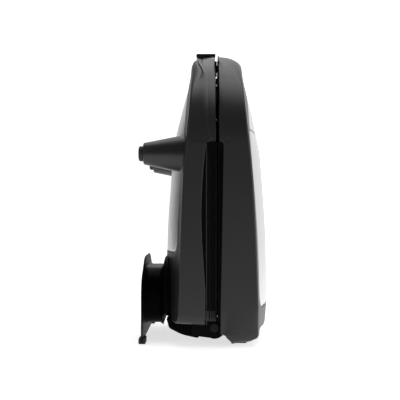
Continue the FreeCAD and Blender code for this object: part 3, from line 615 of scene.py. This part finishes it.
def crowned_sheet(name, side, low):
    """A crowned sheet: rings from its turned-down edge in to the middle."""
    corners = cover_corners(low)
    rings = []
    for inset, drop in ((0.1, 3.2), (0.1, 0.9), (0.25, 0.45), (0.6, 0.12), (1.1, 0.0)):
        points = loop_points(corners, inset, fine=True)
        rings.append([turned(side, face_depth(y, z) - drop, y, z) for y, z in points])
    edge = loop_points(corners, 1.1, fine=True)
    middle = (low + COVER_TOP) / 2
    for share in (0.97, 0.92, 0.85, 0.76, 0.66, 0.55, 0.44, 0.33, 0.22, 0.12, 0.04):
        points = [(y * share, middle + (z - middle) * share) for y, z in edge]
        rings.append([turned(side, face_depth(y, z), y, z) for y, z in points])
    return sweep(name, rings, close_last=True)


def keep_between(piece, low, high):
    """Cuts a sheet across at one or two heights and rolls the cut edge under by a hair."""
    bm = bmesh.new()
    bm.from_mesh(piece.data)
    for height, up in ((low, -1), (high, 1)):
        if height is None:
            continue
        everything = list(bm.verts) + list(bm.edges) + list(bm.faces)
        cut = bmesh.ops.bisect_plane(
            bm, geom=everything, plane_co=(0, 0, height * MM), plane_no=(0, 0, up), clear_outer=True
        )["geom_cut"]
        edges = [item for item in cut if isinstance(item, bmesh.types.BMEdge)]
        for drop, shift in ((0.25, 0.12), (1.6, 0.0)):
            pulled = bmesh.ops.extrude_edge_only(bm, edges=edges)["geom"]
            edges = [item for item in pulled if isinstance(item, bmesh.types.BMEdge)]
            verts = [item for item in pulled if isinstance(item, bmesh.types.BMVert)]
            for vert in verts:
                toward = 1 if vert.co.x < SEAM_X * MM else -1
                vert.co.x += toward * drop * MM
                vert.co.z += up * shift * MM
    bmesh.ops.recalc_face_normals(bm, faces=bm.faces)
    bm.to_mesh(piece.data)
    bm.free()
    return piece


CROSS_SEAM = 198.2
CROSS_GAP = 1.6


def bow_seam(piece):
    """Lets the cross seam dip towards the middle, and fades the dip out over a hand's breadth."""
    dip, fade_breadth, half_width = 3.4, 26, 97
    for vert in piece.data.vertices:
        y = vert.co.y / MM
        z = vert.co.z / MM
        fade = 1 - smooth_step(0, fade_breadth, abs(z - CROSS_SEAM))
        vert.co.z -= dip * (1 - (y / half_width) ** 2) * fade * MM
    return piece


base_cover = crowned_sheet("base_cover_panel", -1, BASE_COVER_LOW)
finish_piece(base_cover, silver, "base", "cover_silver", "base_cover")
lid_cover = bow_seam(keep_between(crowned_sheet("lid_cover_panel", 1, LID_COVER_LOW), None, CROSS_SEAM))
finish_piece(lid_cover, silver, "lid", "cover_silver", "lid_cover")
lid_front_sheet = crowned_sheet("lid_front_panel", 1, LID_COVER_LOW)
lid_front = bow_seam(keep_between(lid_front_sheet, CROSS_SEAM + CROSS_GAP, None))
finish_piece(lid_front, silver, "lid", "cover_silver", "lid_cover_front")


def seam_backing():
    """The shell's bridge under the cross seam, which shows black between the two covers."""
    rows = []
    for reach, drop in ((-7, 3.0), (-6, 0.8), (8, 0.8), (9, 3.0)):
        z = CROSS_SEAM + reach
        rows.append([turned(1, face_depth(y, z) - drop, y, z) for y in range(-94, 95, 4)])
    bm = bmesh.new()
    edges = []
    for row in rows:
        verts = [bm.verts.new(point) for point in row]
        edges.append([bm.edges.new(pair) for pair in zip(verts, verts[1:])])
    for first, second in zip(edges, edges[1:]):
        bmesh.ops.bridge_loops(bm, edges=first + second)
    bmesh.ops.solidify(bm, geom=bm.faces, thickness=0.4 * MM)
    return bow_seam(solid_piece("cross_seam_bridge", bm))


finish_piece(seam_backing(), shell_black, "lid", "shell_black")

# ---------------------------------------------------------------------------------------------------------
# Inner frames: heat-proof black mouldings that hold the plates, coloured darker than the shells as painted
# shade for the recess. Beside the plates their skirts show, with upright ribs that stiffen them; the base's
# has a lip along the shell, coloured lighter as a painted highlight.
# ---------------------------------------------------------------------------------------------------------
# Painted shade: this black is darker than the shells' and its specular is turned down, so the recess beside
# the plates reads as deep shade. It is partly the mouldings' own black and partly painted shade.
frame_black = moulded_plastic(
    "heatproof_frame_black_and_painted_shade", (0.0015, 0.0015, 0.0016), 0.5, grain=0.0006, depth=0.00004
)
shader_of(frame_black).inputs["Specular IOR Level"].default_value = 0.05


def soften(node, width_mm, material):
    """A CAD node kept as it is, with its triangles welded, its edges broken and a finish given."""
    piece = nodes[node]
    weld = piece.modifiers.new("weld", "WELD")
    weld.merge_threshold = 0.000005
    if width_mm:
        bevel = piece.modifiers.new("broken_edges", "BEVEL")
        bevel.width = width_mm * MM
        bevel.segments = 2
        bevel.limit_method = "ANGLE"
        bevel.angle_limit = math.radians(40)
        bevel.harden_normals = False
    for index in range(len(piece.data.materials)):
        piece.data.materials[index] = material
    if not piece.data.materials:
        piece.data.materials.append(material)
    return piece


soften("base_frame", 0.3, frame_black)
soften("lid_frame", 0.3, frame_black)


def slab_rings(corners, place, low, high, edge, run_steps=3):
    """Rings of a slab whose outline is given, with both rims rounded."""
    rings = []
    for step in range(4):
        angle = math.radians(30) * step
        inset = edge * (1 - math.sin(angle))
        level = low + edge * (1 - math.cos(angle))
        rings.append([place(a, b, level) for a, b in loop_points(corners, inset, run_steps)])
    for step in range(4):
        angle = math.radians(30) * step
        inset = edge * (1 - math.cos(angle))
        level = high - edge * (1 - math.sin(angle))
        rings.append([place(a, b, level) for a, b in loop_points(corners, inset, run_steps)])
    return rings


def merged(name, pieces):
    """Joins several new pieces into one mesh."""
    bm = bmesh.new()
    for piece in pieces:
        bm.from_mesh(piece.data)
        old = piece.data
        bpy.data.objects.remove(piece)
        bpy.data.meshes.remove(old)
    return solid_piece(name, bm)


def frame_ribs(name, side, depths, low, high):
    """Upright ribs on both side faces of a frame's skirt."""
    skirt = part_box("base_frame" if side < 0 else "lid_frame")[1][1] / MM
    made = []
    for mirror in (1, -1):
        for depth, half in depths:
            left, right = depth - half, depth + half
            corners = [(left, low, 0.2), (right, low, 0.2), (right, high, 0.2), (left, high, 0.2)]

            def place(u, z, level):
                return turned(side, u, mirror * level, z)

            rings = slab_rings(corners, place, skirt - 0.4, skirt + 0.9, half * 0.6)
            made.append(sweep("rib", rings, True, True))
    return merged(name, made)


# Painted shade: the ribs take the frames' darkened black, which stands for shade in the recess as well as for
# their own black.
rib_black_and_painted_shade = moulded_plastic("ribbed_skirt_black_and_painted_shade", (0.0015, 0.0015, 0.0016), 0.45)
shader_of(rib_black_and_painted_shade).inputs["Specular IOR Level"].default_value = 0.12
rib_span = (24, 178)
base_ribs = frame_ribs("base_frame_ribs", -1, ((1.5, 0.5), (3.4, 0.4), (5.2, 0.4), (7.4, 0.6)), *rib_span)
finish_piece(base_ribs, rib_black_and_painted_shade, "base", "frame_black")
lid_ribs = frame_ribs("lid_frame_ribs", 1, ((1.3, 0.4), (2.8, 0.35)), *rib_span)
finish_piece(lid_ribs, rib_black_and_painted_shade, "lid", "frame_black")


def liner_beads(name, side, spans):
    """Upright beads on a liner, which the other half's beads nearly meet when the lid is shut."""
    made = []
    bead_y = 58
    for mirror in (1, -1):
        for low, high in spans:
            corners = [(-0.8, low, 0.3), (0.8, low, 0.3), (0.8, high, 0.3), (-0.8, high, 0.3)]

            def place(across, z, level):
                return turned(side, level, mirror * (bead_y + across), z)

            made.append(sweep("bead", slab_rings(corners, place, 0.15, 2.4, 0.25), True, True))
    return merged(name, made)


lid_beads = liner_beads("lid_liner_beads", 1, ((187, 192.5), (196, 208), (222, 240), (253, 257), (259, 266)))
finish_piece(lid_beads, frame_black, "lid", "frame_black")
base_beads = liner_beads("base_liner_beads", -1, ((187, 210), (221, 243), (251, 266)))
finish_piece(base_beads, frame_black, "base", "frame_black")

# Painted highlight: the lip is coloured lighter than the other blacks to stand for the lit line along the
# recess edge.
lip_black_with_painted_highlight = moulded_plastic("frame_lip_black_with_painted_highlight", (0.03, 0.03, 0.031), 0.35)
base_lip = frame_ribs("base_frame_lip", -1, ((10.1, 0.4),), 20, 183.6)
finish_piece(base_lip, lip_black_with_painted_highlight, "base", "frame_black")

# ---------------------------------------------------------------------------------------------------------
# Front feet: tapered mouldings fixed to the base's crowned face, each with a smaller soft tip plugged into
# its end. The appliance lies on them when it is used.
# ---------------------------------------------------------------------------------------------------------
foot_black = moulded_plastic("satin_foot_black", (0.008, 0.008, 0.0085), 0.36, grain=0.0005, depth=0.00003)
rubber = moulded_plastic(
    "soft_black_rubber", (0.006, 0.006, 0.006), 0.62, grain=0.0003, depth=0.00006, haze=0.12
)
foot_reach = SEAM_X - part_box("foot_pad_left")[0][0] / MM


def circle(side, depth, y, z, radius, steps=48):
    ring = []
    for step in range(steps):
        angle = 2 * math.pi * step / steps
        ring.append(turned(side, depth, y + radius * math.cos(angle), z + radius * math.sin(angle)))
    return ring


def tapered_foot(name, node, pad_node):
    pad_low, pad_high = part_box(pad_node)
    tip_y = (pad_low[1] + pad_high[1]) / 2 / MM
    tip_z = (pad_low[2] + pad_high[2]) / 2 / MM
    outward = 1 if tip_y > 0 else -1
    root_y = tip_y - 6 * outward
    root_depth, tip_depth = 27.0, 68.3
    root_radius, tip_radius = 18.6, 10.3
    rings = []
    for step in range(7):
        share = step / 6
        depth = root_depth + (tip_depth - 1.6 - root_depth) * share
        radius = root_radius + (tip_radius - root_radius) * share
        rings.append(circle(-1, depth, root_y + (tip_y - root_y) * share, tip_z, radius))
    for lift, shrink in ((0.7, 0.15), (1.2, 0.5), (1.6, 1.2), (1.6, 2.9), (0.4, 3.05), (-2.0, 3.05)):
        rings.append(circle(-1, tip_depth - 1.6 + lift, tip_y, tip_z, tip_radius - shrink))
    return finish_piece(sweep(name, rings), foot_black, "base", "foot_black", node)


def soft_tip(name, node):
    low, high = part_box(node)
    y = (low[1] + high[1]) / 2 / MM
    z = (low[2] + high[2]) / 2 / MM
    radius = 7.1
    rings = []
    profile = ((7, 0), (2.4, 0), (1.6, 0.05), (0.9, 0.35), (0.35, 0.9), (0.08, 1.7), (0, 2.6))
    for back, shrink in profile:
        rings.append(circle(-1, foot_reach - back, y, z, radius - shrink))
    rings.append(circle(-1, foot_reach, y, z, 3.0))
    rings.append(circle(-1, foot_reach - 0.5, y, z, 2.4))
    rings.append(circle(-1, foot_reach - 0.5, y, z, 0.4))
    return finish_piece(sweep(name, rings, close_last=True), rubber, "base", "black_rubber", node)


for hand in ("left", "right"):
    tapered_foot(f"front_foot_cone_{hand}", f"front_foot_{hand}", f"foot_pad_{hand}")
    soft_tip(f"foot_tip_{hand}", f"foot_pad_{hand}")

# ---------------------------------------------------------------------------------------------------------
# Cord spool: satin black barrel with an inner flange that seats on the base. The cord is wound on it.
# ---------------------------------------------------------------------------------------------------------
spool_black = moulded_plastic("glossy_spool_black", (0.0012, 0.0012, 0.0013), 0.4, haze=0.02)
shader_of(spool_black).inputs["Specular IOR Level"].default_value = 0.02
stand_low, stand_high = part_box("stand_plate")
STAND_INNER = SEAM_X - stand_high[0] / MM
STAND_OUTER = SEAM_X - stand_low[0] / MM
STAND_TOP = stand_high[2] / MM
STAND_HALF = stand_high[1] / MM


def spool_barrel():
    """A waisted barrel with a fillet at each end, then the inner flange with a thin round edge."""
    corners = [(-60, 14.8, 20), (60, 14.8, 20), (60, 68, 25), (-60, 68, 25)]
    rings = []
    flange_face = 52.0
    reach = STAND_INNER - flange_face
    for step in range(13):
        share = step / 12
        depth = STAND_INNER + 1.4 - (reach + 1.4) * share
        flare = 2.4 * smooth_step(0.78, 1.0, share) ** 2 + 1.2 * (1 - smooth_step(0.0, 0.15, share))
        rings.append([turned(-1, depth, y, z) for y, z in loop_points(corners, -flare)])
    return sweep("cord_barrel", rings, close_first=True)


def inner_flange():
    """A thin flange with a round edge, whose back follows the base's crowned face."""
    corners = [(-80, 24, 12), (80, 24, 12), (80, STAND_TOP, 42), (-80, STAND_TOP, 42)]
    rings = []
    for inset, depth in ((22, 51.8), (12, 51.6), (5, 51.2), (1.6, 50.4), (0.5, 49.6), (0, 48.4), (0, 47.0)):
        rings.append([turned(-1, depth, y, z) for y, z in loop_points(corners, inset)])
    back = loop_points(corners, 1.0)
    rings.append([turned(-1, min(46.0, face_depth(y, z) + 1.0), y, z) for y, z in back])
    rings.append([turned(-1, face_depth(y, z) - 2.0, y, z) for y, z in back])
    return sweep("cord_inner_flange", rings, close_first=True)


spool = merged("cord_spool_moulding", [spool_barrel(), inner_flange()])
finish_piece(spool, spool_black, "base", "spool_black", "cord_spool")

# ---------------------------------------------------------------------------------------------------------
# Stand plate: the outer flange, a slightly dished satin plate with a thinned edge. It keeps the cord on,
# is the rear foot in use, and stands the appliance up on two soft shoes at its lower corners.
# ---------------------------------------------------------------------------------------------------------
stand_corners = [
    (-STAND_HALF, 1, 4), (STAND_HALF, 1, 4), (STAND_HALF, 58, 22),
    (42, STAND_TOP, 60), (-42, STAND_TOP, 60), (-STAND_HALF, 58, 22),
]


def stand_flange():
    """The dished plate, from its inner face round the thin edge to its outer face."""
    inner, outer = STAND_INNER + 1.3, STAND_OUTER
    profile = (
        (30, inner), (12, inner), (4, inner + 0.2), (1.2, inner + 0.6), (0.3, inner + 0.9), (0, inner + 1.2),
        (0.2, inner + 1.5), (0.8, inner + 1.8), (2.4, outer - 0.25), (5, outer), (7, outer), (8, outer - 0.5),
        (10, outer - 0.9), (30, outer - 0.9),
    )
    rings = []
    for inset, depth in profile:
        rings.append([turned(-1, depth, y, z) for y, z in loop_points(stand_corners, inset)])
    return sweep("stand_plate_dish", rings, close_first=True, close_last=True)


stand_black = moulded_plastic("satin_stand_black", (0.003, 0.003, 0.0032), 0.45)
shader_of(stand_black).inputs["Specular IOR Level"].default_value = 0.03
finish_piece(stand_flange(), stand_black, "base", "spool_black", "stand_plate")


def stand_shoe_pair():
    made = []
    for mirror in (1, -1):
        corners = [
            (66.2, 0.0, 1.2), (foot_reach, 0.0, 0.8), (foot_reach, 5.2, 0.8), (70.4, 6.0, 0.4),
            (66.2, 6.0, 0.6),
        ]

        def place(u, z, level):
            return turned(-1, u, mirror * level, z)

        made.append(sweep("shoe", slab_rings(corners, place, 74.0, STAND_HALF - 4, 0.5), True, True))
    return merged("stand_shoe_pair", made)


finish_piece(stand_shoe_pair(), rubber, "base", "black_rubber", "stand_shoes")

# ---------------------------------------------------------------------------------------------------------
# Rear cover: a satin black trough under the base's hinge end, which closes the space round the terminals.
# ---------------------------------------------------------------------------------------------------------
rear_low, rear_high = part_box("rear_cover")


def rear_trough():
    corners = [
        (16.8, 3.7, 2.2), (33, 7.2, 40), (45, 13.4, 5), (47.5, 22, 1.5), (43.5, 27, 1.5), (16.8, 22, 1.0),
    ]

    def place(u, z, level):
        return turned(-1, u, level, z)

    rings = slab_rings(corners, place, rear_low[1] / MM, rear_high[1] / MM, 2.0)
    return sweep("rear_trough", rings, True, True)


finish_piece(rear_trough(), spool_black, "base", "spool_black", "rear_cover")

# ---------------------------------------------------------------------------------------------------------
# Hinge: the base's ears, the lid's arms inboard of them, and a steel pin through each pair with a domed
# head outside.
# ---------------------------------------------------------------------------------------------------------
pin_black = satin_silver("black_oxide_steel", (0.02, 0.02, 0.022), 0.45)
soften("hinge_ears", 0.5, frame_black)
soften("hinge_arms", 0.5, frame_black)
soften("hinge_pins", 0.3, pin_black)

# ---------------------------------------------------------------------------------------------------------
# Latch: a thumb slide across the handle end. Its cap is a thin plate with a round grip along the outer
# edge; its finger traps the lid's keeper.
# ---------------------------------------------------------------------------------------------------------
latch_low, latch_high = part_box("latch_slider")
LATCH_TOP = latch_high[2] / MM
latch_black = moulded_plastic("glossy_latch_black", (0.006, 0.006, 0.0065), 0.14, haze=0.04)


def thumb_tab():
    """A wedge, thick at its outer edge, with a round grip there and thin over the seam."""
    top = LATCH_TOP
    corners = [
        (0.9, top - 1.9, 0.6), (11.6, top - 3.0, 1.2), (15.2, top - 5.0, 2.4), (20.4, top - 4.0, 2.3),
        (20.0, top, 1.5), (0.9, top, 0.5),
    ]

    def place(u, z, level):
        return turned(-1, u, level, z)

    tab = sweep("tab", slab_rings(corners, place, latch_low[1] / MM, 23.0, 0.7), True, True)
    stem_corners = [(10.3, 8.7, 0.8), (13.2, 8.7, 0.8), (13.2, 24.2, 0.8), (10.3, 24.2, 0.8)]
    rings = [
        [turned(-1, u, y, height) for u, y in loop_points(stem_corners, 0, 3)]
        for height in (top - 10.6, top - 8, top - 5, top - 2.4)
    ]
    stem = sweep("stem", rings, True, True)

    def box_piece(u0, u1, y0, y1, z0, z1):
        flat = [(u0, y0, 0.4), (u1, y0, 0.4), (u1, y1, 0.4), (u0, y1, 0.4)]
        rings = slab_rings(flat, lambda u, y, level: turned(-1, u, y, level), z0, z1, 0.25)
        return sweep("bar", rings, True, True)

    carriage = box_piece(4.9, 13.9, 8.7, 24.2, top - 10.8, top - 9.6)
    finger = box_piece(4.9, 7.5, 17.6, 23.4, latch_low[2] / MM, top - 10.4)
    return merged("latch_thumb_slide", [tab, stem, carriage, finger])


finish_piece(thumb_tab(), latch_black, "latch", "foot_black", "latch_slider")
soften("latch_guide", 0.2, frame_black)
soften("lid_keeper", 0.3, frame_black)

# ---------------------------------------------------------------------------------------------------------
# Cooking plates: cast aluminium with a dark non-stick coat, each with four triangular pockets.
# ---------------------------------------------------------------------------------------------------------
nonstick = moulded_plastic("speckled_nonstick_coat", (0.035, 0.035, 0.037), 0.38, grain=0.0009, depth=0.00005)
soften("base_plate", 0.6, nonstick)
soften("lid_plate", 0.6, nonstick)

# ---------------------------------------------------------------------------------------------------------
# Everything sealed inside: elements, trays, thermostat, fuse, terminals, wires, screws and lamps.
# ---------------------------------------------------------------------------------------------------------
screw_steel = satin_silver("zinc_plated_steel", (0.5, 0.5, 0.51), 0.3)
element_steel = satin_silver("heat_dulled_steel", (0.3, 0.27, 0.24), 0.45)
tray_metal = satin_silver("bright_tray_sheet", (0.75, 0.75, 0.76), 0.25)
cream = moulded_plastic("cream_heatproof_moulding", (0.72, 0.66, 0.52), 0.5)
sleeve = moulded_plastic("glass_fibre_sleeve", (0.62, 0.58, 0.48), 0.8)
red_glow = moulded_plastic("red_lamp_lens", (0.42, 0.012, 0.01), 0.12)
green_glow = moulded_plastic("green_lamp_lens", (0.02, 0.26, 0.05), 0.12)
for name in ("base_heater", "lid_heater"):
    soften(name, 0, element_steel)
for name in ("base_reflector", "lid_reflector"):
    soften(name, 0, tray_metal)
for name in ("base_screws", "lid_screws", "stand_screws", "thermostat"):
    soften(name, 0.15, screw_steel)
for name in ("terminal_block", "lamp_holder"):
    soften(name, 0.3, cream)
for name in ("base_wires", "lid_wires", "thermal_fuse"):
    soften(name, 0, sleeve)


def flush_lens(name, node, tint, slot_name):
    """A lens button that fills its hole and stands level with the cover, with a soft rim."""
    low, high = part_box(node)
    z = (low[2] + high[2]) / 2 / MM
    y = (low[1] + high[1]) / 2 / MM
    rings = []
    profile = ((4.0, 6.0), (4.0, 0.7), (3.85, 0.4), (3.5, 0.22), (2.6, 0.12), (1.2, 0.06), (0.3, 0.05))
    steps = 32
    for radius, drop in profile:
        ring = []
        for step in range(steps):
            angle = 2 * math.pi * step / steps
            py = y + radius * math.cos(angle)
            pz = z + radius * math.sin(angle)
            ring.append(turned(1, face_depth(py, pz) - drop, py, pz))
        rings.append(ring)
    return finish_piece(sweep(name, rings, True, True), tint, "lid", slot_name, node)


flush_lens("power_lamp_button", "power_lens", red_glow, "red_lens")
flush_lens("ready_lamp_button", "ready_lens", green_glow, "green_lens")
soften("lid_heels", 0.4, rubber)
soften("cord_gland", 0.2, rubber)
